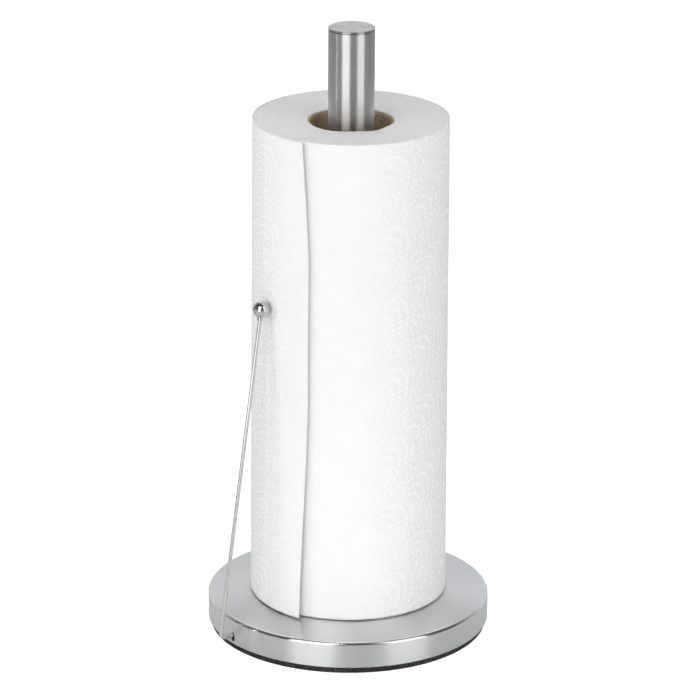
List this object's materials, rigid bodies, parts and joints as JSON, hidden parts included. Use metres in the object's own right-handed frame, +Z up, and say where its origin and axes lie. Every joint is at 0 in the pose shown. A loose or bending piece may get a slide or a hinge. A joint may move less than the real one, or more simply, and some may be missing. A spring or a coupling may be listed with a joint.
{
  "type": "paper towel holder",
  "caption": "Free-standing paper towel holder: weighted round base, upright post through a turning paper roll, and a sprung wire arm whose ball presses on the paper.",
  "frame": {"origin": "centre of the round base, on the surface that it stands on", "axes": "+Z up along the post, -Y towards the front, where the loose end of the paper hangs; the arm stands at the front left"},
  "size_m": [0.15, 0.15, 0.329],
  "materials": {
    "cover_steel": "satin",
    "post_steel": "satin",
    "arm_chrome": "polished",
    "ballast_iron": "matte",
    "plate_zinc": "satin",
    "fastener_zinc": "satin",
    "spring_steel": "satin",
    "pad_foam": "matte",
    "gasket_black": "matte",
    "hub_plastic": "satin",
    "core_card": "matte",
    "wound_paper": "matte",
    "sheet_paper": "matte"
  },
  "bodies": {
    "base": {"base_cover": "cover_steel", "base_weight": "ballast_iron", "base_plate": "plate_zinc", "plate_screws": "fastener_zinc", "anti_slip_pad": "pad_foam", "post_tube": "post_steel", "post_cap": "post_steel", "post_foot_plug": "fastener_zinc", "post_gasket": "gasket_black", "post_bolt": "fastener_zinc", "post_washer": "fastener_zinc", "post_lock_washer": "fastener_zinc", "arm_bracket": "plate_zinc", "bracket_rivets": "fastener_zinc", "arm_spring": "spring_steel"},
    "hub": {"centring_hub": "hub_plastic"},
    "roll": {"cardboard_core": "core_card", "paper_roll": "wound_paper", "loose_sheet": "sheet_paper"},
    "arm": {"arm_wire": "arm_chrome", "arm_ball": "arm_chrome", "ball_collar": "arm_chrome", "pivot_clip": "spring_steel"}
  },
  "joints": [
    {"name": "roll_spin", "type": "hinge", "parent": "base", "child": "hub", "pos_m": [0, 0, 0.0207], "axis": [0, 0, 1], "continuous": true},
    {"name": "roll_lift", "type": "slide", "parent": "hub", "child": "roll", "axis": [0, 0, 1], "range_m": [0, 0.32]},
    {"name": "arm_swing", "type": "hinge", "parent": "base", "child": "arm", "pos_m": [-0.0563, -0.04075, 0.0084], "axis": [0.5864, -0.81, 0], "range_deg": [0, 20], "stiffness_Nm_per_rad": 0.14, "springref_deg": -85.94, "deforming": ["arm_spring"]}
  ]
}
